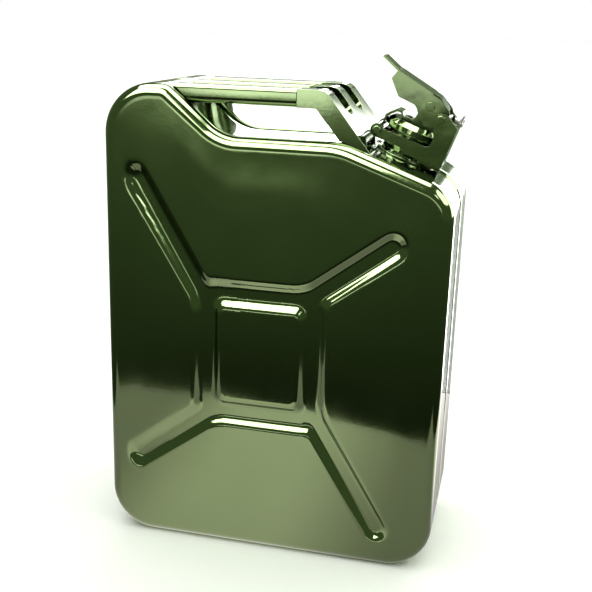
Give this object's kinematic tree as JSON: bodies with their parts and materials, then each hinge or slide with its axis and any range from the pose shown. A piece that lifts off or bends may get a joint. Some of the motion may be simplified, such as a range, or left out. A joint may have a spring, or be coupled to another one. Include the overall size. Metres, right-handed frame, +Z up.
{
  "type": "jerry can",
  "caption": "Pressed-steel fuel can with a triple carrying handle and a hinged cap held shut by a cam lever.",
  "frame": {"origin": "centre of the base on the plane the can stands on", "axes": "+Z up, +X towards the narrow end with the neck, +Y towards the rear panel"},
  "size_m": [0.345, 0.165, 0.5081],
  "materials": {
    "green_paint": "gloss",
    "steel": "satin",
    "rubber": "matte"
  },
  "bodies": {
    "can": {"front_shell": "green_paint", "rear_shell": "green_paint", "seam_weld": "green_paint", "front_handle": "green_paint", "middle_handle": "green_paint", "rear_handle": "green_paint", "handle_saddle": "green_paint", "neck_tube": "green_paint", "neck_flange": "green_paint", "neck_bracket": "green_paint", "catch_pins": "green_paint", "hinge_pin": "green_paint", "lock_pin_guide": "green_paint", "vent_tube": "steel", "vent_clip": "steel"},
    "cap": {"cap_shell": "green_paint", "cap_gasket": "rubber", "seal_plate": "steel", "pressure_spring": "steel", "hinge_arm": "green_paint", "cap_bridge": "green_paint", "cap_rivets": "green_paint", "lever_pin": "green_paint"},
    "lever": {"cam_lever": "green_paint"},
    "lock": {"lock_pin": "steel", "pull_ring": "steel"}
  },
  "joints": [
    {"name": "cap_hinge", "type": "hinge", "parent": "can", "child": "cap", "pos_m": [0.08863, 0, 0.43823], "axis": [0, -1, 0], "range_deg": [0, 85]},
    {"name": "lever_pivot", "type": "hinge", "parent": "cap", "child": "lever", "pos_m": [0.13785, 0, 0.46235], "axis": [0, 1, 0], "range_deg": [0, 95]},
    {"name": "lock_slide", "type": "slide", "parent": "can", "child": "lock", "axis": [0.9397, 0, -0.342], "range_m": [-0.0042, 0]}
  ],
  "couplings": [
    {"joint": "lever_pivot", "follows": "cap_hinge", "ratio": 1.1176}
  ]
}
